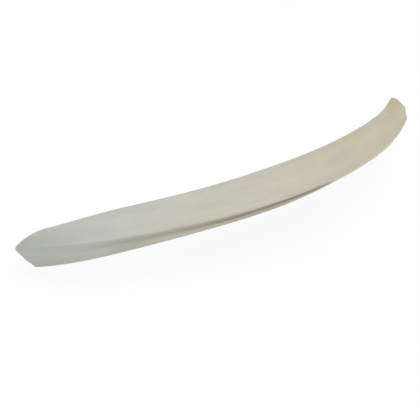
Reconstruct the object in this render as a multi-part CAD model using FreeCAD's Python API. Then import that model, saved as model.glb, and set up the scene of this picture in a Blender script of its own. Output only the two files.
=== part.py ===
"""Trunk spoiler: a one-piece moulded ducktail shell, open underneath, with ends that wrap forward.

Frame: X across the car, +Y forward, +Z up, in millimetres. The origin is the middle of the front edge.
Each section stands in an upright plane through the lip edge and the front edge at its station.
It is drawn as distances forward of the lip edge and above it.
"""
import FreeCAD
import Part
import math
import os
from dataclasses import dataclass

Vector = FreeCAD.Vector

# Front edge: half width, how far the ends sweep forward, how far they droop
FRONT_HALF_WIDTH = 547.5
FRONT_SWEEP = 131.0
FRONT_DROOP = 40.0

# Downward wrap of the left-hand end: where it starts, how far both edges move, and the section there
WRAP_START = 0.7
WRAP_INWARD = 42.5
WRAP_FORWARD = 68.0
WRAP_FALL = 28.0
WRAP_FRONT_FORWARD = 14.0
WRAP_FRONT_FALL = 13.0
WRAP_RIM_UNDERCUT = 33.0
WRAP_RIM_DROP = 74.0
WRAP_NOSE_DROP = 42.0
WRAP_NOSE_BULGE = 22.0
WRAP_KICK_ANGLE = -42.0

# Upward curl of the front edge before the right-hand end: where it starts, and its height at the end
CURL_START = 0.86
CURL_RISE = 5.0

# Lip edge, where the top skin ends and the nose begins
LIP_HALF_WIDTH = 677.5
LIP_SETBACK = 140.5
LIP_SWEEP = 245.5
LIP_HEIGHT = -16.5
LIP_DROOP = 39.5

# Rear rim, measured from the lip edge
RIM_UNDERCUT_MIDDLE = 75.0
RIM_UNDERCUT_END = 46.0
RIM_DROP_MIDDLE = 70.5
RIM_DROP_END = 78.5
RIM_FLARE_MIDDLE = 20.0
RIM_FLARE_END = -29.0

# Nose, the rounding between the lip edge and the scoop beneath it
NOSE_DROP_MIDDLE = 15.0
NOSE_DROP_END = 28.0
NOSE_BULGE_MIDDLE = 9.0
NOSE_BULGE_END = 5.5
NOSE_INSET = 9.0
SCOOP_ANGLE_MIDDLE = 74.0
SCOOP_ANGLE_END = 29.0

# Top skin: rise behind the front edge and upward kick at the lip
FRONT_RISE_ANGLE = 10.0
KICK_ANGLE_MIDDLE = 14.0
KICK_ANGLE_END = 8.5

# Wall, and its thickness at the front edge
WALL = 4.0
FRONT_EDGE = 2.5

# Raised tip beyond the right-hand end
TIP_REACH = 36.0
TIP_FRONT_INSET = 42.0
TIP_FRONT_RISE = 61.5
TIP_LIP_INSET = -18.0
TIP_LIP_RISE = 20.5
TIP_UNDERCUT = 8.0
TIP_RIM_DROP = 14.0
TIP_NOSE_DROP = 8.0
TIP_NOSE_BULGE = 4.0
TIP_NOSE_INSET = 3.0
TIP_KICK_ANGLE = -36.0

# Lead of each curve handle, as a share of its stretch, and the filled lip as a share of the kick handle
FRONT_LEAD = 0.36
KICK_LEAD = 0.26
LIP_CORE = 0.5
NOSE_LEAD = 0.6
SCOOP_LEAD = 0.45
RIM_LEAD = 0.5

# Powers with which the ends take over from the middle, and the tip from its root
FRONT_SWEEP_FADE = 2.57
FRONT_DROOP_FADE = 4.5
LIP_SWEEP_FADE = 1.93
LIP_DROOP_FADE = 1.95
SIZE_FADE = 2.47
SCOOP_FADE = 3.5
WRAP_FADE = 2.0
CURL_FADE = 2.0
TIP_FADE = 2.0

# Sections of each loft, and strips that each curve of a section is lofted in
STATIONS = 13
TIP_STATIONS = 4
TOP_STRIPS = 6
NOSE_STRIPS = 6
SCOOP_STRIPS = 8


@dataclass
class SectionSizes:
    """Sizes of one section, in millimetres and degrees."""

    undercut: float
    drop: float
    flare: float
    nose_drop: float
    nose_bulge: float
    nose_inset: float
    scoop_angle: float
    kick: float


class SectionPlane:
    """Upright plane through a lip point and a front point; places are forward of the lip and above it."""

    def __init__(self, front, lip):
        self.lip = lip
        across = Vector(front.x - lip.x, front.y - lip.y, 0)
        self.chord = across.Length
        self.front_rise = front.z - lip.z
        self.forward = across.normalize()

    def outward(self):
        """Level direction square to the plane, away from the middle on the right-hand half."""
        return Vector(self.forward.y, -self.forward.x, 0)

    def point(self, place):
        """Space point of a (forward, up) pair."""
        return self.lip + self.forward * place[0] + Vector(0, 0, place[1])


def moved(place, direction, length):
    """A (forward, up) pair moved along a (forward, up) direction."""
    return place[0] + direction[0] * length, place[1] + direction[1] * length


def heading(angle):
    """Direction that leans forward from straight up by an angle in degrees."""
    return math.sin(math.radians(angle)), math.cos(math.radians(angle))


def distance(start, end):
    """Length between two (forward, up) pairs."""
    return math.hypot(end[0] - start[0], end[1] - start[1])


def blend(middle, end, station, fade):
    """Value at a station, from the middle of the span to either end."""
    return middle + (end - middle) * abs(station) ** fade


def toward(value, target, share):
    """Value moved a share of the way to a target."""
    return value + (target - value) * share


def wrap(station):
    """Share of the left-hand wrap that a station has."""
    return (max(0, -station - WRAP_START) / (1 - WRAP_START)) ** WRAP_FADE


def front_point(station):
    """Front edge point at a station from -1 at the left end to 1 at the right end."""
    along = blend(0, FRONT_SWEEP, station, FRONT_SWEEP_FADE)
    droop = blend(0, FRONT_DROOP, station, FRONT_DROOP_FADE)
    curl = max(0, station - CURL_START) / (1 - CURL_START)
    wrapped = Vector(0, WRAP_FRONT_FORWARD, -WRAP_FRONT_FALL) * wrap(station)
    return Vector(FRONT_HALF_WIDTH * station, along, CURL_RISE * curl ** CURL_FADE - droop) + wrapped


def lip_point(station):
    """Lip edge point at a station from -1 at the left end to 1 at the right end."""
    along = blend(-LIP_SETBACK, LIP_SWEEP - LIP_SETBACK, station, LIP_SWEEP_FADE)
    height = blend(LIP_HEIGHT, LIP_HEIGHT - LIP_DROOP, station, LIP_DROOP_FADE)
    wrapped = Vector(WRAP_INWARD, WRAP_FORWARD, -WRAP_FALL) * wrap(station)
    return Vector(LIP_HALF_WIDTH * station, along, height) + wrapped


def station_sizes(station):
    """Section sizes at a station along the span."""
    share = wrap(station)
    undercut = blend(RIM_UNDERCUT_MIDDLE, RIM_UNDERCUT_END, station, SIZE_FADE)
    drop = blend(RIM_DROP_MIDDLE, RIM_DROP_END, station, SIZE_FADE)
    nose_drop = blend(NOSE_DROP_MIDDLE, NOSE_DROP_END, station, SCOOP_FADE)
    nose_bulge = blend(NOSE_BULGE_MIDDLE, NOSE_BULGE_END, station, SCOOP_FADE)
    kick = blend(KICK_ANGLE_MIDDLE, KICK_ANGLE_END, station, SCOOP_FADE)
    return SectionSizes(
        undercut=toward(undercut, WRAP_RIM_UNDERCUT, share),
        drop=toward(drop, WRAP_RIM_DROP, share),
        flare=blend(RIM_FLARE_MIDDLE, RIM_FLARE_END, station, SCOOP_FADE),
        nose_drop=toward(nose_drop, WRAP_NOSE_DROP, share),
        nose_bulge=toward(nose_bulge, WRAP_NOSE_BULGE, share),
        nose_inset=NOSE_INSET,
        scoop_angle=blend(SCOOP_ANGLE_MIDDLE, SCOOP_ANGLE_END, station, SCOOP_FADE),
        kick=toward(kick, WRAP_KICK_ANGLE, share),
    )


def top_skin(plane, sizes):
    """Poles of the top curve, from the front edge back to the lip edge."""
    front = (plane.chord, plane.front_rise)
    rearward_up = heading(FRONT_RISE_ANGLE - 90)
    forward_down = heading(90 + sizes.kick)
    return [
        front,
        moved(front, rearward_up, FRONT_LEAD * plane.chord),
        moved((0, 0), forward_down, KICK_LEAD * plane.chord),
        (0, 0),
    ]


def nose(sizes):
    """Poles of the rounding from the lip edge down to the start of the scoop."""
    end = (sizes.nose_inset, -sizes.nose_drop)
    rearward_up = heading(sizes.kick - 90)
    scoop_up = heading(-sizes.scoop_angle)
    return [
        (0, 0),
        moved((0, 0), rearward_up, sizes.nose_bulge),
        moved(end, scoop_up, NOSE_LEAD * sizes.nose_drop),
        end,
    ]


def scoop(sizes):
    """Poles of the hollow under the lip, from the nose down to the rear rim."""
    start = (sizes.nose_inset, -sizes.nose_drop)
    rim = (sizes.undercut, -sizes.drop)
    span = distance(start, rim)
    forward_down = heading(180 - sizes.scoop_angle)
    rim_up = heading(sizes.flare)
    return [
        start,
        moved(start, forward_down, SCOOP_LEAD * span),
        moved(rim, rim_up, RIM_LEAD * span),
        rim,
    ]


def inner_top(plane, sizes, top):
    """Poles of the underside of the top skin, from the filled lip forward to the front edge."""
    inside = heading(180 + sizes.kick)
    filled = moved(top[3], heading(90 + sizes.kick), LIP_CORE * KICK_LEAD * plane.chord)
    return [
        moved(filled, inside, WALL),
        moved(top[2], inside, WALL),
        moved(top[1], (0, -1), WALL),
        moved(top[0], (0, -1), FRONT_EDGE),
    ]


def inner_scoop(sizes, outer):
    """Poles of the inside of the scoop wall, from the rear rim up into the lip."""
    upper_inside = heading(90 - sizes.scoop_angle)
    rim_inside = heading(90 + sizes.flare)
    return [
        moved(outer[3], rim_inside, WALL),
        moved(outer[2], rim_inside, WALL),
        moved(outer[1], upper_inside, WALL),
        moved(outer[0], upper_inside, WALL),
    ]


def curve(plane, poles, strips=1):
    """Edges of one section curve, one for each strip that the loft makes of it."""
    bezier = Part.BezierCurve()
    bezier.setPoles([plane.point(pole) for pole in poles])
    return [bezier.toShape(index / strips, (index + 1) / strips) for index in range(strips)]


def straight(plane, start, end):
    """Straight edge between two places of a section."""
    return Part.makeLine(plane.point(start), plane.point(end))


def section(plane, sizes):
    """Closed outline of the wall in one plane, round the lip to the rim and back inside."""
    top = top_skin(plane, sizes)
    under_lip = scoop(sizes)
    inside_wall = inner_scoop(sizes, under_lip)
    inside_top = inner_top(plane, sizes, top)
    return Part.Wire([
        *curve(plane, top, TOP_STRIPS),
        *curve(plane, nose(sizes), NOSE_STRIPS),
        *curve(plane, under_lip, SCOOP_STRIPS),
        straight(plane, under_lip[3], inside_wall[0]),
        *curve(plane, inside_wall, SCOOP_STRIPS),
        straight(plane, inside_wall[3], inside_top[0]),
        *curve(plane, inside_top, TOP_STRIPS),
        straight(plane, inside_top[3], top[0]),
    ])


def station_plane(station):
    """Section plane at a station along the span."""
    return SectionPlane(front_point(station), lip_point(station))


def shell():
    """The wall lofted through all stations from the left end to the right end."""
    last = STATIONS - 1
    places = [2 * index / last - 1 for index in range(STATIONS)]
    sections = [section(station_plane(place), station_sizes(place)) for place in places]
    return Part.makeLoft(sections, True, False)


def tip_plane(root, share):
    """Section plane of the tip, at a share of its reach beyond the end of the span."""
    beyond = root.lip + root.outward() * (TIP_REACH * share)
    front = root.forward * toward(root.chord, TIP_FRONT_INSET, share)
    front.z = blend(root.front_rise, TIP_FRONT_RISE, share, TIP_FADE)
    lip = root.forward * (TIP_LIP_INSET * share)
    lip.z = TIP_LIP_RISE * share ** TIP_FADE
    return SectionPlane(beyond + front, beyond + lip)


def tip_sizes(share):
    """Section sizes of the tip, at a share of its reach."""
    root = station_sizes(1)
    return SectionSizes(
        undercut=toward(root.undercut, TIP_UNDERCUT, share),
        drop=toward(root.drop, TIP_RIM_DROP, share),
        flare=root.flare,
        nose_drop=toward(root.nose_drop, TIP_NOSE_DROP, share),
        nose_bulge=toward(root.nose_bulge, TIP_NOSE_BULGE, share),
        nose_inset=toward(root.nose_inset, TIP_NOSE_INSET, share),
        scoop_angle=root.scoop_angle,
        kick=toward(root.kick, TIP_KICK_ANGLE, share),
    )


def raised_tip():
    """The turned-up tip that carries the wall on beyond the right-hand end."""
    root = station_plane(1)
    shares = [index / (TIP_STATIONS - 1) for index in range(TIP_STATIONS)]
    sections = [section(tip_plane(root, share), tip_sizes(share)) for share in shares]
    return Part.makeLoft(sections, True, False)


def build():
    """Write the spoiler as one solid."""
    spoiler = shell().fuse(raised_tip()).removeSplitter()
    os.makedirs("parts", exist_ok=True)
    spoiler.exportStep("parts/spoiler_shell.step")


build()
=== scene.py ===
"""Trunk spoiler: an unpainted moulded ducktail shell on white ground, seen from behind and its left."""
import logging
import math
from dataclasses import dataclass
from enum import Enum
from typing import Any

import bmesh
import bpy
from mathutils import Matrix, Vector


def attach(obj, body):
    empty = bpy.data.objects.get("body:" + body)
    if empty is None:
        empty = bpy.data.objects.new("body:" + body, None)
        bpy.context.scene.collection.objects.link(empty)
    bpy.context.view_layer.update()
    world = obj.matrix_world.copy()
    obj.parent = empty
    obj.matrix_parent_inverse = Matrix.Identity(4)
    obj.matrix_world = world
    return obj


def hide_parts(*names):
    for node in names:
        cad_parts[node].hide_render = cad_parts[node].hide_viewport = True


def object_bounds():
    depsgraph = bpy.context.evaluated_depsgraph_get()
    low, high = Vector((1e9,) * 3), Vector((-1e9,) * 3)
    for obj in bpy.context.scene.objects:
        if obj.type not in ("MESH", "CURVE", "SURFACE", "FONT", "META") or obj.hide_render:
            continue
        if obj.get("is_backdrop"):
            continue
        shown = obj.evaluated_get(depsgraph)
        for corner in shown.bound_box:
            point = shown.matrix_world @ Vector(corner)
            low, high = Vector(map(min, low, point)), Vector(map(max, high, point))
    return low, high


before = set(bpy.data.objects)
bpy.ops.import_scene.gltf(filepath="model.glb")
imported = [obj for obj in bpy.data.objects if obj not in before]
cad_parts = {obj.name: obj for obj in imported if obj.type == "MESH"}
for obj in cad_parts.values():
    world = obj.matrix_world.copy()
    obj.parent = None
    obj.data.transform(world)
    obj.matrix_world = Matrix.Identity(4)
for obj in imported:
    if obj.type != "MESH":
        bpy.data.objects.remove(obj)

LOG = logging.getLogger("spoiler")

Colour = tuple[float, float, float]
Triple = tuple[float, float, float]
Place = tuple[float, float]
Ramp = tuple[float, float]

WHITE: Colour = (1.0, 1.0, 1.0)
LIP_EDGE: Place = (0.0, 0.0)
DOWN: Place = (0.0, -1.0)
RIGHT_ANGLE = 90.0
HALF_TURN = 180.0
NOISE_MEAN = 0.5
GRID_HALF = 0.5


class Finish(Enum):
    """Material slots of the shell, in slot order."""

    GELCOAT = 0
    LAMINATE = 1
    TRIM = 2


class Run(Enum):
    """Stretches of one section, numbered in order round the wall: rows of faces and finish of each."""

    TOP = (0, 30, Finish.GELCOAT)
    NOSE = (1, 18, Finish.GELCOAT)
    SCOOP = (2, 20, Finish.GELCOAT)
    RIM = (3, 1, Finish.TRIM)
    INNER_SCOOP = (4, 14, Finish.LAMINATE)
    LIP_FACE = (5, 3, Finish.LAMINATE)
    INNER_TOP = (6, 20, Finish.LAMINATE)
    FRONT_EDGE = (7, 1, Finish.TRIM)

    @property
    def rows(self) -> int:
        """Rows of faces along this stretch."""
        return self.value[1]

    @property
    def finish(self) -> Finish:
        """Finish of this stretch."""
        return self.value[2]


class Mark(Enum):
    """Numbers stored on the shell for its finish: nearness to a cut edge, depth below the lip, and shares
    of painted shade and painted light.
    """

    EDGE = "edge"
    DEPTH = "depth"
    CAP = "cap"
    STRIP = "strip"
    STAIN = "stain"


@dataclass(frozen=True)
class Pattern:
    """Soft noise: its scale, its octaves of detail and how strongly the finer ones show."""

    scale: float
    detail: float
    roughness: float = 0.5


def opaque(colour: Colour) -> tuple[float, float, float, float]:
    """A colour with full cover."""
    return (*colour, 1.0)


class Signal:
    """A shader socket that takes part in arithmetic."""

    def __init__(self, graph: "Graph", socket: bpy.types.NodeSocket | None) -> None:
        """Wrap a socket.

        Args:
            graph: the graph that owns the socket.
            socket: an output socket, or None for a node that has none.
        """
        self.graph = graph
        self.socket = socket

    def __add__(self, other: "Signal | float") -> "Signal":
        """Sum."""
        return self.graph.math("ADD", self, other)

    def __radd__(self, other: float) -> "Signal":
        """Sum with a number on the left."""
        return self.graph.math("ADD", other, self)

    def __sub__(self, other: "Signal | float") -> "Signal":
        """Difference."""
        return self.graph.math("SUBTRACT", self, other)

    def __mul__(self, other: "Signal | float") -> "Signal":
        """Product."""
        return self.graph.math("MULTIPLY", self, other)


class Graph:
    """Node graph of one material or world."""

    def __init__(self, owner: bpy.types.Material | bpy.types.World) -> None:
        """Start an empty graph.

        Args:
            owner: the material or world that the graph shades.
        """
        owner.use_nodes = True
        self.owner = owner
        self.tree = owner.node_tree
        self.tree.nodes.clear()

    def add(self, kind: str, settings: dict[str, Any], values: dict[Any, Any], output: Any = 0) -> Signal:
        """Add one node.

        Args:
            kind: node type without the ShaderNode prefix.
            settings: node properties.
            values: constants or signals for input sockets, by name or number.
            output: name or number of the output to return.

        Returns:
            The chosen output of the new node.
        """
        node = self.tree.nodes.new("ShaderNode" + kind)
        for name, value in settings.items():
            setattr(node, name, value)
        for key, value in values.items():
            if isinstance(value, Signal):
                self.tree.links.new(value.socket, node.inputs[key])
            else:
                node.inputs[key].default_value = value
        return Signal(self, node.outputs[output] if len(node.outputs) else None)

    def math(self, operation: str, first: Signal | float, second: Signal | float) -> Signal:
        """Result of one arithmetic step."""
        return self.add("Math", {"operation": operation}, {0: first, 1: second})

    def fit(self, value: Signal, ramp: Ramp, start: float = 0.0, end: float = 1.0) -> Signal:
        """Value mapped smoothly from the two ends of a ramp to start and end, and held there."""
        settings = {"interpolation_type": "SMOOTHSTEP"}
        return self.add("MapRange", settings, {0: value, 1: ramp[0], 2: ramp[1], 3: start, 4: end})

    def mix(self, share: Signal | float, first: Signal | Colour, second: Signal | Colour) -> Signal:
        """Blend of two colours."""
        ends = [end if isinstance(end, Signal) else opaque(end) for end in (first, second)]
        return self.add("Mix", {"data_type": "RGBA"}, {0: share, 6: ends[0], 7: ends[1]}, 2)

    def mix_surfaces(self, share: Signal, first: Signal, second: Signal) -> Signal:
        """Blend of two surfaces."""
        return self.add("MixShader", {}, {0: share, 1: first, 2: second})

    def place(self) -> Signal:
        """Object coordinates, in metres."""
        return self.add("TexCoord", {}, {}, "Object")

    def axis(self, place: Signal, name: str) -> Signal:
        """One axis of a place."""
        return self.add("SeparateXYZ", {}, {0: place}, name)

    def stretch(self, place: Signal, scale: Triple, turn: Triple = (0.0, 0.0, 0.0)) -> Signal:
        """A place turned and scaled along its axes."""
        return self.add("Mapping", {}, {"Vector": place, "Scale": scale, "Rotation": turn})

    def noise(self, place: Signal, pattern: Pattern) -> Signal:
        """Soft noise between 0 and 1."""
        tuning = {"Scale": pattern.scale, "Detail": pattern.detail, "Roughness": pattern.roughness}
        return self.add("TexNoise", {}, {"Vector": place, **tuning})

    def sway(self, place: Signal, pattern: Pattern) -> Signal:
        """Soft noise about zero."""
        return self.noise(place, pattern) - NOISE_MEAN

    def stored(self, mark: Mark) -> Signal:
        """A number stored on the piece."""
        return self.add("Attribute", {"attribute_name": mark.value}, {}, "Fac")

    def seen(self) -> Signal:
        """One where the camera looks straight at the surface, zero for all other light."""
        return self.add("LightPath", {}, {}, "Is Camera Ray")

    def bump(
        self, height: Signal, depth: float, strength: float = 1.0, under: Signal | None = None
    ) -> Signal:
        """Normal shaped by a height.

        Args:
            height: height between 0 and 1.
            depth: metres that a height of 1 stands up.
            strength: share of the effect.
            under: normal that the height is laid on, or None for the plain surface.

        Returns:
            The shaped normal.
        """
        values = {"Height": height, "Distance": depth, "Strength": strength}
        if under is not None:
            values["Normal"] = under
        return self.add("Bump", {}, values)

    def finish(self, values: dict[str, Any]) -> bpy.types.Material:
        """Close the graph with one surface.

        Args:
            values: constants or signals for the surface's inputs.

        Returns:
            The finished material.
        """
        surface = self.add("BsdfPrincipled", {}, values)
        self.add("OutputMaterial", {}, {"Surface": surface})
        return self.owner


@dataclass(frozen=True)
class Gelcoat:
    """Satin, unpainted outer skin, with painted shade at the left end and under the lip, painted light
    along the rear strip and lip, and a painted tint of cool light at the left and warm light at the right.
    """

    # Colours from the left end to the right, carrying a painted tint of cool light at the left and warm
    # light at the right
    left: Colour = (0.548, 0.556, 0.498)
    middle: Colour = (0.572, 0.556, 0.474)
    right: Colour = (0.545, 0.496, 0.372)
    far: Colour = (0.530, 0.486, 0.356)
    # Pale edges: partly wear, partly painted highlight where the cut edges catch light
    wear_and_highlight: Colour = (0.640, 0.620, 0.545)
    # Painted shade on the left-end cap
    end_shade_colour: Colour = (0.470, 0.490, 0.450)
    # Painted light on the rear strip, and painted highlight along the lip
    painted_light: Colour = (0.700, 0.672, 0.566)
    # Painted shade under the lip
    under_lip_shade: Colour = (0.212, 0.180, 0.095)
    # Where each colour gives way to the next, in metres across the car
    to_middle: Ramp = (-0.50, -0.22)
    to_right: Ramp = (-0.12, 0.40)
    to_far: Ramp = (0.50, 0.66)
    # Mottle of soft patches and fine specks
    patches: Pattern = Pattern(9.0, 3.0)
    specks: Pattern = Pattern(420.0, 1.0)
    mottle: float = 0.13
    speck_share: float = 0.6
    # Smears that follow the lip, and the yellow of the dark ones
    smears: Pattern = Pattern(1.0, 4.0, 0.6)
    smears_across: float = 5.0
    smears_deep: float = 26.0
    smears_from: Ramp = (-0.62, -0.36)
    smear: float = 0.20
    yellowed: Ramp = (-0.20, 0.05)
    yellowing: float = 0.25
    # Cover of the painted shade under the lip, and what a smear adds to it
    shade_cover: float = 0.8
    shade_smear: float = 0.3
    # Ragged wear along the cut edges, partly painted highlight where they catch light
    scuffs: Pattern = Pattern(60.0, 4.0)
    scuff_base: float = 0.45
    scuff_gain: float = 1.1
    scuffed: Ramp = (0.55, 0.95)
    wear_and_highlight_cover: float = 0.6
    # Satin gloss with fine swirls
    swirls: Pattern = Pattern(70.0, 3.0, 0.6)
    swirl_stretch: Triple = (1.0, 6.0, 6.0)
    roughness: float = 0.46
    patch_gloss: float = 0.10
    swirl_gloss: float = 0.06
    scuff_gloss: float = 0.12
    # Relief of slow waves and fine pores
    waves: Pattern = Pattern(7.0, 1.0)
    wave_depth: float = 0.0009
    pores: Pattern = Pattern(900.0, 2.0)
    pore_depth: float = 0.00006
    pore_strength: float = 0.5
    # Strength of reflections
    refraction: float = 1.46
    shine: float = 0.42

    def swept(self, graph: Graph, across: Signal) -> Signal:
        """Place along and below the lip, which the smears follow."""
        depth = graph.stored(Mark.DEPTH) * self.smears_deep
        return graph.add("CombineXYZ", {}, {0: across * self.smears_across, 1: depth})

    def clean(self, graph: Graph, across: Signal, streaks: Signal) -> Signal:
        """Colour of the clean skin from the left end to the right, with a painted tint of cool light at
        the left and warm light at the right.

        Args:
            graph: the material graph.
            across: place across the car, in metres.
            streaks: smears about zero.

        Returns:
            The colour, yellowed in the dark smears.
        """
        cool = graph.mix(graph.fit(across, self.to_middle), self.left, self.middle)
        warm = graph.mix(graph.fit(across, self.to_right), cool, self.right)
        base = graph.mix(graph.fit(across, self.to_far), warm, self.far)
        yellow = graph.fit(streaks, self.yellowed, 1.0, 0.0) * self.yellowing
        return graph.mix(yellow, base, self.right)

    def marked(self, graph: Graph, clean: Signal, smears: Signal) -> Signal:
        """Clean skin with painted shade on the left-end cap, painted light on the rear strip and lip, and
        painted shade under the lip over it.

        Args:
            graph: the material graph.
            clean: colour of the clean skin.
            smears: smears between 0 and 1.

        Returns:
            The colour.
        """
        # Painted shade on the left-end cap
        end_shaded = graph.mix(graph.stored(Mark.CAP), clean, self.end_shade_colour)
        # Painted light on the rear strip and painted highlight along the lip
        strip_lit = graph.mix(graph.stored(Mark.STRIP), end_shaded, self.painted_light)
        # Painted shade under the lip, laid over the colour
        shade_share = graph.stored(Mark.STAIN) * (self.shade_cover + smears * self.shade_smear)
        return graph.mix(shade_share, strip_lit, self.under_lip_shade)

    def worn_and_lit(self, graph: Graph, place: Signal) -> Signal:
        """Ragged wear and painted highlight along the cut edges, between 0 and 1."""
        ragged = self.scuff_base + graph.noise(place, self.scuffs) * self.scuff_gain
        return graph.fit(graph.stored(Mark.EDGE) * ragged, self.scuffed)

    def relief(self, graph: Graph, place: Signal) -> Signal:
        """Normal of the slightly wavy skin with its fine pores."""
        wavy = graph.bump(graph.noise(place, self.waves), self.wave_depth)
        return graph.bump(graph.noise(place, self.pores), self.pore_depth, self.pore_strength, wavy)

    def material(self) -> bpy.types.Material:
        """Material of the outer skin.

        Returns:
            The finished material.
        """
        graph = Graph(bpy.data.materials.new("gelcoat"))
        place = graph.place()
        across = graph.axis(place, "X")
        smears = graph.noise(self.swept(graph, across), self.smears)
        streaks = (smears - NOISE_MEAN) * graph.fit(across, self.smears_from)
        patches = graph.sway(place, self.patches)
        specks = graph.sway(place, self.specks)
        mottled = 1.0 + patches * self.mottle + specks * (self.mottle * self.speck_share)
        shade = mottled + streaks * self.smear
        marked = self.marked(graph, self.clean(graph, across, streaks), smears)
        shaded = graph.add("VectorMath", {"operation": "SCALE"}, {0: marked, "Scale": shade})
        # Wear with painted highlight along the cut edges
        worn_and_lit = self.worn_and_lit(graph, place)
        swirl = graph.sway(graph.stretch(place, self.swirl_stretch), self.swirls)
        satin = self.roughness + patches * self.patch_gloss + swirl * self.swirl_gloss
        return graph.finish({
            "Base Color": graph.mix(worn_and_lit * self.wear_and_highlight_cover, shaded, self.wear_and_highlight),
            "Roughness": satin + worn_and_lit * self.scuff_gloss,
            "Normal": self.relief(graph, place),
            "IOR": self.refraction,
            "Specular IOR Level": self.shine,
        })


@dataclass(frozen=True)
class Laminate:
    """Raw inside of the moulding: resin over strands that lie every way."""

    resin: Colour = (0.330, 0.335, 0.235)
    strand: Colour = (0.560, 0.560, 0.455)
    # Strands: angles in degrees, fineness, and the heights at which they show
    lay_angles: tuple[float, ...] = (0.0, 37.0, 81.0, 118.0, 151.0)
    lay: Pattern = Pattern(1.0, 1.0)
    lay_stretch: Triple = (30.0, 420.0, 60.0)
    lay_seen: Ramp = (0.52, 0.68)
    # Cloudy resin, and how well the strands show through it
    clouds: Pattern = Pattern(24.0, 3.0)
    clear_cover: float = 0.35
    cloud_cover: float = 0.5
    roughness: float = 0.52
    cloud_gloss: float = 0.25
    # Relief of strands and lumps
    lumps: Pattern = Pattern(55.0, 3.0)
    strand_height: float = 0.7
    lump_height: float = 0.6
    relief: float = 0.0007

    def strands(self, graph: Graph, place: Signal, angle: float) -> Signal:
        """Height of the strands that lie along one direction, turned by an angle in degrees."""
        laid = graph.stretch(place, self.lay_stretch, (0.0, 0.0, math.radians(angle)))
        return graph.fit(graph.noise(laid, self.lay), self.lay_seen)

    def material(self) -> bpy.types.Material:
        """Material of the inside.

        Returns:
            The finished material.
        """
        graph = Graph(bpy.data.materials.new("laminate"))
        place = graph.place()
        first, *others = (self.strands(graph, place, angle) for angle in self.lay_angles)
        mat = first
        for layer in others:
            mat = graph.math("MAXIMUM", mat, layer)
        cloudy = graph.noise(place, self.clouds)
        cover = mat * (self.clear_cover + cloudy * self.cloud_cover)
        height = mat * self.strand_height + graph.noise(place, self.lumps) * self.lump_height
        return graph.finish({
            "Base Color": graph.mix(cover, self.resin, self.strand),
            "Roughness": self.roughness + (cloudy - NOISE_MEAN) * self.cloud_gloss,
            "Normal": graph.bump(height, self.relief),
        })


@dataclass(frozen=True)
class Trim:
    """Cut and sanded edge of the wall, with fine scratches along it."""

    pale: Colour = (0.520, 0.512, 0.440)
    dark: Colour = (0.300, 0.298, 0.250)
    to_pale: Ramp = (0.35, 0.65)
    plies: Pattern = Pattern(1.0, 2.0)
    ply_stretch: Triple = (8.0, 60.0, 700.0)
    ply_share: float = 0.7
    dust: Pattern = Pattern(140.0, 4.0)
    dust_share: float = 0.3
    dust_gloss: float = 0.2
    roughness: float = 0.72
    relief: float = 0.0003

    def material(self) -> bpy.types.Material:
        """Material of the cut edges.

        Returns:
            The finished material.
        """
        graph = Graph(bpy.data.materials.new("trim"))
        place = graph.place()
        plies = graph.noise(graph.stretch(place, self.ply_stretch), self.plies)
        dust = graph.noise(place, self.dust)
        streaky = graph.fit(plies * self.ply_share + dust * self.dust_share, self.to_pale)
        return graph.finish({
            "Base Color": graph.mix(streaky, self.dark, self.pale),
            "Roughness": self.roughness + (dust - NOISE_MEAN) * self.dust_gloss,
            "Normal": graph.bump(plies, self.relief),
        })


def moved(place: Place, direction: Place, length: float) -> Place:
    """A (forward, up) pair moved along a direction."""
    return place[0] + direction[0] * length, place[1] + direction[1] * length


def heading(angle: float) -> Place:
    """Direction that leans forward from straight up by an angle in degrees."""
    return math.sin(math.radians(angle)), math.cos(math.radians(angle))


def span(start: Place, end: Place) -> float:
    """Length between two (forward, up) pairs."""
    return math.hypot(end[0] - start[0], end[1] - start[1])


def blend(middle: float, end: float, station: float, fade: float) -> float:
    """Value at a station, from the middle of the span to either end."""
    return middle + (end - middle) * abs(station) ** fade


def toward(value: float, target: float, share: float) -> float:
    """Value moved a share of the way to a target."""
    return value + (target - value) * share


def smooth(value: float, ramp: Ramp) -> float:
    """Share of the way up a ramp, eased at both ends."""
    share = min(1.0, max(0.0, (value - ramp[0]) / (ramp[1] - ramp[0])))
    return share * share * (3.0 - 2.0 * share)


def along(poles: list[Place], share: float) -> Place:
    """Place on the curve that a row of poles draws.

    Args:
        poles: two poles for a straight stretch or four for a bent one.
        share: share of the way along.

    Returns:
        The (forward, up) pair there.
    """
    row = poles
    while len(row) > 1:
        row = [(toward(a[0], b[0], share), toward(a[1], b[1], share)) for a, b in zip(row, row[1:])]
    return row[0]


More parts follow.
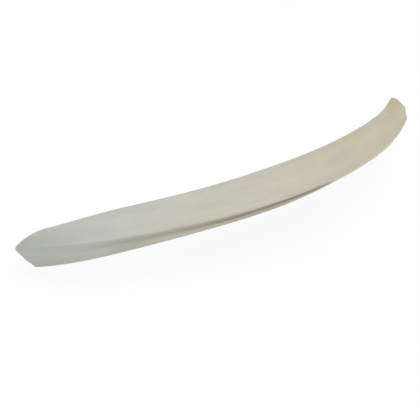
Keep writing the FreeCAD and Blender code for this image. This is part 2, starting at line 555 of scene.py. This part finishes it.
@dataclass(frozen=True)
class PaintedLightAndShade:
    """Where painted shade darkens the skin and painted light and highlight lighten it.

    A station is -1 at the left end of the span and 1 at the right end.
    A share is the way along one stretch of a section.
    """

    # Painted shade on the left-end cap, by station and by share of top and nose
    cap_end: Ramp = (0.74, 0.93)
    cap_lip: float = 0.8
    cap_top: Ramp = (0.35, 0.9)
    cap_nose: Ramp = (0.0, 0.6)
    # Thinner painted shade where the nose turns away from the light
    turn_thinning: float = 0.55
    turn_start: Ramp = (0.0, 0.15)
    turn_end: Ramp = (0.28, 0.45)
    # Painted light: a cream strip along the rear rim, by station and by share of the scoop
    strip_end: Ramp = (-0.97, -0.82)
    strip_left: float = 0.15
    strip_rise: Ramp = (-0.72, -0.5)
    strip_scoop: Ramp = (0.05, 0.5)
    # Painted highlight along the lip, by station and by share of the top
    lip_highlight: float = 0.2
    lip_left: Ramp = (-0.5, -0.25)
    lip_right: Ramp = (-0.05, 0.15)
    lip_right_share: float = 0.4
    lip_top: Ramp = (0.75, 0.92)
    # Recess under the lip, where the painted shade lies: its distance from the rear rim, and the share of
    # it that shades off
    recess_middle: float = 0.0105
    recess_end: float = 0.074
    recess_fade: float = 2.5
    recess_start_side: float = 0.3
    recess_start_middle: float = 0.5
    # Painted shade under the lip, by station, and by share of the top
    shade_end: Ramp = (-0.95, -0.6)
    shade_side: float = 0.84
    shade_full: Ramp = (-0.4, -0.12)
    shade_middle: Ramp = (-0.6, -0.2)
    shade_lip: float = 0.1
    shade_top: Ramp = (0.9, 1.0)
    shade_scoop_side: float = 0.7
    # Painted shade on the nose: how it sets in at the side, and the share at which it is full
    roll_fade: float = 1.2
    roll_left: float = 0.6
    roll_right: float = 0.32
    roll_change: Ramp = (-0.25, -0.05)
    # Right-hand half, where only the foot of the nose gets painted shade
    far_side: Ramp = (0.09, 0.22)
    far_nose: Ramp = (0.7, 1.0)

    def cap(self, station: float, run: Run, share: float) -> float:
        """Share of the painted shade that covers the wrapped left end.

        Args:
            station: place along the span.
            run: stretch of the section.
            share: share of the way along the stretch.

        Returns:
            Share between 0 and 1, thinner where the nose turns away from the light.
        """
        turning = smooth(share, self.turn_start) * (1.0 - smooth(share, self.turn_end))
        nose = toward(self.cap_lip, 1.0, smooth(share, self.cap_nose))
        reach = {
            Run.TOP: self.cap_lip * smooth(share, self.cap_top),
            Run.NOSE: nose - self.turn_thinning * turning,
            Run.SCOOP: 1.0,
        }
        return smooth(-station, self.cap_end) * reach.get(run, 0.0)

    def strip(self, station: float, run: Run, share: float) -> float:
        """Share of the painted light along the rear rim and of the painted highlight along the lip.

        Args:
            station: place along the span.
            run: stretch of the section.
            share: share of the way along the stretch.

        Returns:
            Share between 0 and 1.
        """
        clean = toward(self.strip_left, 1.0, smooth(station, self.strip_rise))
        wall = smooth(station, self.strip_end) * clean
        wear_and_highlight = toward(1.0, self.lip_right_share, smooth(station, self.lip_right))
        lip = self.lip_highlight * smooth(station, self.lip_left) * wear_and_highlight
        reach = {
            Run.TOP: lip * smooth(share, self.lip_top),
            Run.NOSE: lip,
            Run.SCOOP: wall * smooth(share, self.strip_scoop),
        }
        return reach.get(run, 0.0)

    def recess(self, rim: float, station: float, middle: float) -> float:
        """How deep in the recess under the lip a place of the rear wall lies.

        Args:
            rim: distance from the rear rim.
            station: place along the span.
            middle: share that the middle of the span has at the station.

        Returns:
            Share between 0 in the open and 1 in the recess.
        """
        deep = blend(self.recess_middle, self.recess_end, station, self.recess_fade)
        start = toward(self.recess_start_side, self.recess_start_middle, middle)
        return smooth(rim, (deep * start, deep))

    def stain(self, station: float, run: Run, share: float, rim: float) -> float:
        """Share of the painted shade under the lip.

        Args:
            station: place along the span.
            run: stretch of the section.
            share: share of the way along the stretch.
            rim: distance from the rear rim.

        Returns:
            Share between 0 and 1.
        """
        inward = -abs(station)
        thick = toward(self.shade_side, 1.0, smooth(inward, self.shade_full))
        spread = smooth(inward, self.shade_end) * thick
        middle = smooth(inward, self.shade_middle)
        far = smooth(station, self.far_side)
        full = toward(self.roll_left, self.roll_right, smooth(station, self.roll_change))
        crease = toward(self.shade_lip, 1.0, smooth(share, (0.0, full)))
        rolled = toward(share ** self.roll_fade, crease, middle)
        depth = {
            Run.TOP: self.shade_lip * middle * smooth(share, self.shade_top) * (1.0 - far),
            Run.NOSE: toward(rolled, smooth(share, self.far_nose), far),
            Run.SCOOP: self.recess(rim, station, middle) * toward(self.shade_scoop_side, 1.0, middle),
        }
        return spread * depth.get(run, 0.0)


@dataclass
class SectionSizes:
    """Sizes of one section, in metres and degrees."""

    undercut: float
    drop: float
    flare: float
    nose_drop: float
    nose_bulge: float
    nose_inset: float
    scoop_angle: float
    kick: float


class Section:
    """Closed outline of the wall in an upright plane through a lip point and a front point."""

    def __init__(self, shell: "SpoilerShell", front: Vector, lip: Vector, sizes: SectionSizes) -> None:
        """Work out the curves of one section.

        Args:
            shell: the shell that the section belongs to.
            front: point on the front edge.
            lip: point on the lip edge.
            sizes: sizes of the section.
        """
        level = Vector((front.x - lip.x, front.y - lip.y, 0.0))
        self.lip = lip
        self.chord = level.length
        self.rise = front.z - lip.z
        self.forward = level.normalized()
        self.sizes = sizes
        self.poles = self.outline(shell)

    def outward(self) -> Vector:
        """Level direction square to the plane, away from the middle on the right-hand half."""
        return Vector((self.forward.y, -self.forward.x, 0.0))

    def point(self, run: Run, share: float) -> Vector:
        """Space point at a share of the way along one stretch."""
        ahead, up = along(self.poles[run], share)
        return self.lip + self.forward * ahead + Vector((0.0, 0.0, up))

    def outer(self, shell: "SpoilerShell") -> dict[Run, list[Place]]:
        """Poles of the three outer curves.

        Args:
            shell: the shell that the section belongs to.

        Returns:
            Poles of top, nose and scoop.
        """
        sizes = self.sizes
        front = (self.chord, self.rise)
        turn = (sizes.nose_inset, -sizes.nose_drop)
        rim = (sizes.undercut, -sizes.drop)
        length = span(turn, rim)
        top = [
            front,
            moved(front, heading(shell.front_rise_angle - RIGHT_ANGLE), shell.front_lead * self.chord),
            moved(LIP_EDGE, heading(RIGHT_ANGLE + sizes.kick), shell.kick_lead * self.chord),
            LIP_EDGE,
        ]
        nose = [
            LIP_EDGE,
            moved(LIP_EDGE, heading(sizes.kick - RIGHT_ANGLE), sizes.nose_bulge),
            moved(turn, heading(-sizes.scoop_angle), shell.nose_lead * sizes.nose_drop),
            turn,
        ]
        scoop = [
            turn,
            moved(turn, heading(HALF_TURN - sizes.scoop_angle), shell.scoop_lead * length),
            moved(rim, heading(sizes.flare), shell.rim_lead * length),
            rim,
        ]
        return {Run.TOP: top, Run.NOSE: nose, Run.SCOOP: scoop}

    def outline(self, shell: "SpoilerShell") -> dict[Run, list[Place]]:
        """Poles of every stretch.

        Args:
            shell: the shell that the section belongs to.

        Returns:
            Poles by stretch, in order round the wall.
        """
        sizes = self.sizes
        outer = self.outer(shell)
        top, scoop = outer[Run.TOP], outer[Run.SCOOP]
        upper_inside = heading(RIGHT_ANGLE - sizes.scoop_angle)
        rim_inside = heading(RIGHT_ANGLE + sizes.flare)
        lip_inside = heading(HALF_TURN + sizes.kick)
        core = shell.lip_core * shell.kick_lead * self.chord
        filled = moved(top[3], heading(RIGHT_ANGLE + sizes.kick), core)
        wall = [
            moved(scoop[3], rim_inside, shell.wall),
            moved(scoop[2], rim_inside, shell.wall),
            moved(scoop[1], upper_inside, shell.wall),
            moved(scoop[0], upper_inside, shell.wall),
        ]
        under = [
            moved(filled, lip_inside, shell.wall),
            moved(top[2], lip_inside, shell.wall),
            moved(top[1], DOWN, shell.wall),
            moved(top[0], DOWN, shell.front_edge),
        ]
        return {
            **outer,
            Run.RIM: [scoop[3], wall[0]],
            Run.INNER_SCOOP: wall,
            Run.LIP_FACE: [wall[3], under[0]],
            Run.INNER_TOP: under,
            Run.FRONT_EDGE: [under[3], top[0]],
        }


@dataclass
class SpoilerShell:
    """The moulded shell: a closed wall swept through sections from the left end to the raised tip."""

    # Front edge: half width, and how far the ends sweep forward and droop
    front_half_width: float = 0.5475
    front_sweep: float = 0.131
    front_droop: float = 0.04
    # Left-hand wrap: where it starts, and how it moves the edges and changes the section
    wrap_start: float = 0.7
    wrap_inward: float = 0.0425
    wrap_forward: float = 0.068
    wrap_fall: float = 0.028
    wrap_front_forward: float = 0.014
    wrap_front_fall: float = 0.013
    wrap_rim_undercut: float = 0.033
    wrap_rim_drop: float = 0.074
    wrap_nose_drop: float = 0.042
    wrap_nose_bulge: float = 0.022
    wrap_kick_angle: float = -42.0
    # Upward curl of the front edge towards the right-hand end
    curl_start: float = 0.86
    curl_rise: float = 0.005
    # Lip edge, where the top skin ends and the nose begins
    lip_half_width: float = 0.6775
    lip_setback: float = 0.1405
    lip_sweep: float = 0.2455
    lip_height: float = -0.0165
    lip_droop: float = 0.0395
    # Rear rim, measured from the lip edge
    rim_undercut_middle: float = 0.075
    rim_undercut_end: float = 0.046
    rim_drop_middle: float = 0.0705
    rim_drop_end: float = 0.0785
    rim_flare_middle: float = 20.0
    rim_flare_end: float = -29.0
    # Nose, the rounding between the lip edge and the scoop beneath it
    nose_drop_middle: float = 0.015
    nose_drop_end: float = 0.028
    nose_bulge_middle: float = 0.009
    nose_bulge_end: float = 0.0055
    nose_inset: float = 0.009
    # Angles of the scoop, of the skin behind the front edge and of the kick at the lip
    scoop_angle_middle: float = 74.0
    scoop_angle_end: float = 29.0
    front_rise_angle: float = 10.0
    kick_angle_middle: float = 14.0
    kick_angle_end: float = 8.5
    # Wall, and the filled part of the lip as a share of the kick's lead
    wall: float = 0.004
    front_edge: float = 0.0025
    lip_core: float = 0.5
    # Raised tip beyond the right-hand end
    tip_reach: float = 0.036
    tip_front_inset: float = 0.042
    tip_front_rise: float = 0.0615
    tip_lip_inset: float = -0.018
    tip_lip_rise: float = 0.0205
    tip_undercut: float = 0.008
    tip_rim_drop: float = 0.014
    tip_nose_drop: float = 0.008
    tip_nose_bulge: float = 0.004
    tip_nose_inset: float = 0.003
    tip_kick_angle: float = -36.0
    # Lead of each curve handle, as a share of the stretch that it shapes
    front_lead: float = 0.36
    kick_lead: float = 0.26
    nose_lead: float = 0.6
    scoop_lead: float = 0.45
    rim_lead: float = 0.5
    # Powers with which the ends take over from the middle
    front_sweep_fade: float = 2.57
    front_droop_fade: float = 4.5
    lip_sweep_fade: float = 1.93
    lip_droop_fade: float = 1.95
    size_fade: float = 2.47
    scoop_fade: float = 3.5
    wrap_fade: float = 2.0
    curl_fade: float = 2.0
    tip_fade: float = 2.0
    # Columns of faces, and how the mesh is joined and shaded
    span_columns: int = 170
    tip_columns: int = 20
    weld_distance: float = 1e-6
    sharp_angle: float = 38.0
    # Width of the worn and highlighted edges, and the rounding of the cut ones
    edge_width: float = 0.006
    edge_rounding: float = 0.0006
    rounding_steps: int = 2
    rounding_angle: float = 50.0
    painted_light_and_shade: PaintedLightAndShade = PaintedLightAndShade()

    def wrap(self, station: float) -> float:
        """Share of the left-hand wrap that a station has."""
        return (max(0.0, -station - self.wrap_start) / (1.0 - self.wrap_start)) ** self.wrap_fade

    def curl(self, station: float) -> float:
        """Share of the right-hand upward curl that a station has."""
        return (max(0.0, station - self.curl_start) / (1.0 - self.curl_start)) ** self.curl_fade

    def front_point(self, station: float) -> Vector:
        """Front edge point at a station.

        Args:
            station: place along the span, from -1 at the left end to 1 at the right end.

        Returns:
            The point.
        """
        reach = blend(0.0, self.front_sweep, station, self.front_sweep_fade)
        droop = blend(0.0, self.front_droop, station, self.front_droop_fade)
        height = self.curl_rise * self.curl(station) - droop
        wrapped = Vector((0.0, self.wrap_front_forward, -self.wrap_front_fall)) * self.wrap(station)
        return Vector((self.front_half_width * station, reach, height)) + wrapped

    def lip_point(self, station: float) -> Vector:
        """Lip edge point at a station.

        Args:
            station: place along the span, from -1 at the left end to 1 at the right end.

        Returns:
            The point.
        """
        reach = blend(-self.lip_setback, self.lip_sweep - self.lip_setback, station, self.lip_sweep_fade)
        height = blend(self.lip_height, self.lip_height - self.lip_droop, station, self.lip_droop_fade)
        wrapped = Vector((self.wrap_inward, self.wrap_forward, -self.wrap_fall)) * self.wrap(station)
        return Vector((self.lip_half_width * station, reach, height)) + wrapped

    def sizes(self, station: float) -> SectionSizes:
        """Section sizes at a station.

        Args:
            station: place along the span, from -1 at the left end to 1 at the right end.

        Returns:
            The sizes, which the left-hand wrap takes over near the left end.
        """
        share = self.wrap(station)
        undercut = blend(self.rim_undercut_middle, self.rim_undercut_end, station, self.size_fade)
        drop = blend(self.rim_drop_middle, self.rim_drop_end, station, self.size_fade)
        nose_drop = blend(self.nose_drop_middle, self.nose_drop_end, station, self.scoop_fade)
        bulge = blend(self.nose_bulge_middle, self.nose_bulge_end, station, self.scoop_fade)
        kick = blend(self.kick_angle_middle, self.kick_angle_end, station, self.scoop_fade)
        return SectionSizes(
            undercut=toward(undercut, self.wrap_rim_undercut, share),
            drop=toward(drop, self.wrap_rim_drop, share),
            flare=blend(self.rim_flare_middle, self.rim_flare_end, station, self.scoop_fade),
            nose_drop=toward(nose_drop, self.wrap_nose_drop, share),
            nose_bulge=toward(bulge, self.wrap_nose_bulge, share),
            nose_inset=self.nose_inset,
            scoop_angle=blend(self.scoop_angle_middle, self.scoop_angle_end, station, self.scoop_fade),
            kick=toward(kick, self.wrap_kick_angle, share),
        )

    def span_section(self, station: float) -> Section:
        """Section at a station along the span."""
        return Section(self, self.front_point(station), self.lip_point(station), self.sizes(station))

    def tip_section(self, share: float) -> Section:
        """Section of the raised tip.

        Args:
            share: share of the tip's reach beyond the span.

        Returns:
            The section.
        """
        root = self.span_section(1.0)
        beyond = root.lip + root.outward() * (self.tip_reach * share)
        front = root.forward * toward(root.chord, self.tip_front_inset, share)
        front.z = blend(root.rise, self.tip_front_rise, share, self.tip_fade)
        lip = root.forward * (self.tip_lip_inset * share)
        lip.z = self.tip_lip_rise * share ** self.tip_fade
        sizes = SectionSizes(
            undercut=toward(root.sizes.undercut, self.tip_undercut, share),
            drop=toward(root.sizes.drop, self.tip_rim_drop, share),
            flare=root.sizes.flare,
            nose_drop=toward(root.sizes.nose_drop, self.tip_nose_drop, share),
            nose_bulge=toward(root.sizes.nose_bulge, self.tip_nose_bulge, share),
            nose_inset=toward(root.sizes.nose_inset, self.tip_nose_inset, share),
            scoop_angle=root.sizes.scoop_angle,
            kick=toward(root.sizes.kick, self.tip_kick_angle, share),
        )
        return Section(self, beyond + front, beyond + lip, sizes)

    def station(self, column: int) -> float:
        """Station of one column of the skin, past 1 on the tip."""
        return 2.0 * column / self.span_columns - 1.0

    def column(self, number: int) -> Section:
        """Section of one column of the skin.

        Args:
            number: number of the column, from the left end to the end of the tip.

        Returns:
            The section.
        """
        if number <= self.span_columns:
            return self.span_section(self.station(number))
        return self.tip_section((number - self.span_columns) / self.tip_columns)

    def row(self, number: int) -> tuple[Run, float]:
        """Stretch of one row of the skin.

        Args:
            number: number of the row, in order round the wall.

        Returns:
            The stretch and the share of the way along it.
        """
        left = number
        for run in Run:
            if left <= run.rows:
                return run, left / run.rows
            left -= run.rows
        return Run.FRONT_EDGE, 1.0

    def bend(self, sheet: bmesh.types.BMesh, columns: int, rows: int) -> None:
        """Bend a flat unit grid into the wall, and store the numbers that its finish needs.

        Args:
            sheet: the grid, one unit wide and centred.
            columns: faces along it.
            rows: faces across it.
        """
        layers = {mark: sheet.verts.layers.float.new(mark.value) for mark in Mark}
        sections = [self.column(number) for number in range(columns + 1)]
        for vert in sheet.verts:
            column = round((vert.co.x + GRID_HALF) * columns)
            run, share = self.row(round((vert.co.y + GRID_HALF) * rows))
            station = self.station(column)
            section = sections[column]
            point = section.point(run, share)
            ends = min(column, columns - column) / columns * 2.0 * self.lip_half_width
            rim = (point - section.point(Run.RIM, 0.0)).length
            front = (point - section.point(Run.TOP, 0.0)).length
            # Shares of painted shade and painted light, stored for the gelcoat
            marks = {
                Mark.EDGE: max(0.0, 1.0 - min(ends, rim, front) / self.edge_width),
                Mark.DEPTH: (point - section.lip).length,
                Mark.CAP: self.painted_light_and_shade.cap(station, run, share),
                Mark.STRIP: self.painted_light_and_shade.strip(station, run, share),
                Mark.STAIN: self.painted_light_and_shade.stain(station, run, share, rim),
            }
            for mark, value in marks.items():
                vert[layers[mark]] = value
            vert.co = point

    def dress(self, sheet: bmesh.types.BMesh, rows: int) -> None:
        """Give each face of the flat grid the finish of its row.

        Args:
            sheet: the grid, one unit wide and centred.
            rows: faces across it.
        """
        for face in sheet.faces:
            run, _ = self.row(math.ceil((face.calc_center_median().y + GRID_HALF) * rows))
            face.material_index = run.finish.value
            face.smooth = True

    def close(self, sheet: bmesh.types.BMesh) -> None:
        """Join the wall where it meets itself, and close its two ends.

        Args:
            sheet: the bent grid.
        """
        bmesh.ops.remove_doubles(sheet, verts=sheet.verts, dist=self.weld_distance)
        open_edges = [edge for edge in sheet.edges if edge.is_boundary]
        for end in bmesh.ops.holes_fill(sheet, edges=open_edges, sides=0)["faces"]:
            end.material_index = Finish.TRIM.value
        bmesh.ops.recalc_face_normals(sheet, faces=sheet.faces)

    def build(self, finishes: list[bpy.types.Material]) -> bpy.types.Object:
        """Build the shell.

        Args:
            finishes: materials in slot order.

        Returns:
            The shell as one piece.
        """
        columns = self.span_columns + self.tip_columns
        rows = sum(run.rows for run in Run)
        sheet = bmesh.new()
        bmesh.ops.create_grid(sheet, x_segments=columns, y_segments=rows, size=GRID_HALF)
        self.dress(sheet, rows)
        self.bend(sheet, columns, rows)
        self.close(sheet)
        mesh = bpy.data.meshes.new("spoiler_skin")
        sheet.to_mesh(mesh)
        sheet.free()
        mesh.set_sharp_from_angle(angle=math.radians(self.sharp_angle))
        for finish in finishes:
            mesh.materials.append(finish)
        piece = bpy.data.objects.new("spoiler_skin", mesh)
        bpy.context.scene.collection.objects.link(piece)
        self.round_edges(piece)
        return piece

    def round_edges(self, piece: bpy.types.Object) -> None:
        """Take the sharpness off the cut edges.

        Args:
            piece: the shell.
        """
        rounding = piece.modifiers.new("rounding", "BEVEL")
        rounding.width = self.edge_rounding
        rounding.segments = self.rounding_steps
        rounding.limit_method = "ANGLE"
        rounding.angle_limit = math.radians(self.rounding_angle)
        rounding.use_clamp_overlap = True
        rounding.miter_outer = "MITER_ARC"


@dataclass(frozen=True)
class Lamp:
    """A broad, far lamp: where it comes from, its colour, its strength and its spread in degrees."""

    name: str
    comes_from: Triple
    colour: Colour
    strength: float
    spread: float

    def place(self) -> bpy.types.Object:
        """Add the lamp to the scene.

        Returns:
            The lamp.
        """
        light = bpy.data.lights.new(self.name, "SUN")
        light.energy = self.strength
        light.color = self.colour
        light.angle = math.radians(self.spread)
        lamp = bpy.data.objects.new(self.name, light)
        lamp.rotation_euler = Vector(self.comes_from).to_track_quat("Z", "Y").to_euler()
        bpy.context.scene.collection.objects.link(lamp)
        return lamp


@dataclass
class Studio:
    """White ground, even surrounding light and a broad lamp."""

    floor_half: float = 14.0
    floor_clearance: float = 0.0005
    floor_colour: Colour = (0.97, 0.97, 0.97)
    shadow_share: float = 0.1
    bounce: float = 0.62
    glow: float = 1.0
    ambient: Colour = (0.985, 1.0, 1.02)
    ambient_strength: float = 0.6
    key: Lamp = Lamp(
        name="key",
        comes_from=(0.40, -0.35, 1.0),
        colour=(1.0, 0.985, 0.955),
        strength=1.35,
        spread=60.0,
    )

    def ground(self) -> bpy.types.Material:
        """White ground that keeps a faint shadow.

        Returns:
            The finished material.
        """
        graph = Graph(bpy.data.materials.new("ground"))
        lit = graph.add("BsdfDiffuse", {}, {"Color": opaque(self.floor_colour)})
        white = graph.add("Emission", {}, {"Color": opaque(WHITE), "Strength": self.glow})
        share = self.bounce + graph.seen() * (1.0 - self.shadow_share - self.bounce)
        graph.add("OutputMaterial", {}, {"Surface": graph.mix_surfaces(share, lit, white)})
        return graph.owner

    def floor(self, height: float) -> bpy.types.Object:
        """Floor under the lowest point of the object.

        Args:
            height: height of that point.

        Returns:
            The floor.
        """
        sheet = bmesh.new()
        bmesh.ops.create_grid(sheet, x_segments=1, y_segments=1, size=self.floor_half)
        bmesh.ops.translate(sheet, verts=sheet.verts, vec=(0.0, 0.0, height - self.floor_clearance))
        mesh = bpy.data.meshes.new("floor")
        sheet.to_mesh(mesh)
        sheet.free()
        mesh.materials.append(self.ground())
        floor = bpy.data.objects.new("floor", mesh)
        bpy.context.scene.collection.objects.link(floor)
        floor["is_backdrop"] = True
        return floor

    def surround(self) -> bpy.types.World:
        """Even light from all round, white where the camera sees it.

        Returns:
            The world that gives it.
        """
        graph = Graph(bpy.data.worlds.new("surround"))
        even = {"Color": opaque(self.ambient), "Strength": self.ambient_strength}
        soft = graph.add("Background", {}, even)
        white = graph.add("Background", {}, {"Color": opaque(WHITE), "Strength": self.glow})
        graph.add("OutputWorld", {}, {"Surface": graph.mix_surfaces(graph.seen(), soft, white)})
        bpy.context.scene.world = graph.owner
        return graph.owner

    def build(self, height: float) -> None:
        """Set up floor, surrounding light and lamp.

        Args:
            height: height of the object's lowest point.
        """
        self.floor(height)
        self.surround()
        self.key.place()


@dataclass(frozen=True)
class PhotoCamera:
    """Camera at the photo's angle, in degrees, metres and millimetres of focal length."""

    azimuth: float = 34.9013
    elevation: float = 28.7654
    roll: float = -1.2371
    position: Triple = (-1.1794, -1.4359, 0.8960)
    lens: float = 66.33
    sensor: float = 36.0

    def pose(self) -> Matrix:
        """Place and turn of the camera.

        Returns:
            The matrix from the camera's own axes to the scene's.
        """
        turn, tilt, lean = (math.radians(angle) for angle in (self.azimuth, self.elevation, self.roll))
        ahead = Vector((math.sin(turn) * math.cos(tilt), math.cos(turn) * math.cos(tilt), -math.sin(tilt)))
        level = Vector((math.cos(turn), -math.sin(turn), 0.0))
        upright = level.cross(ahead)
        right = level * math.cos(lean) + upright * math.sin(lean)
        up = upright * math.cos(lean) - level * math.sin(lean)
        axes = Matrix((right, up, -ahead)).transposed().to_4x4()
        return Matrix.Translation(Vector(self.position)) @ axes

    def place(self) -> bpy.types.Object:
        """Add the camera and look through it.

        Returns:
            The camera.
        """
        data = bpy.data.cameras.new("photo_camera")
        data.lens = self.lens
        data.sensor_width = self.sensor
        data.dof.use_dof = False
        camera = bpy.data.objects.new("photo_camera", data)
        camera.matrix_world = self.pose()
        bpy.context.scene.collection.objects.link(camera)
        bpy.context.scene.camera = camera
        return camera


def main() -> None:
    """Build the shell, the studio and the camera."""
    logging.basicConfig(level=logging.INFO, format="%(name)s: %(message)s")
    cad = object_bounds()
    finishes = [Gelcoat().material(), Laminate().material(), Trim().material()]
    skin = SpoilerShell().build(finishes)
    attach(skin, "root")
    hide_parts("spoiler_shell")
    LOG.info("shell with %d faces", len(skin.data.polygons))
    Studio().build(float(cad[0][2]))
    LOG.info("studio set up")
    PhotoCamera().place()
    LOG.info("camera placed")
    bpy.context.scene.view_settings.view_transform = "Standard"


if __name__ == "__main__":
    main()
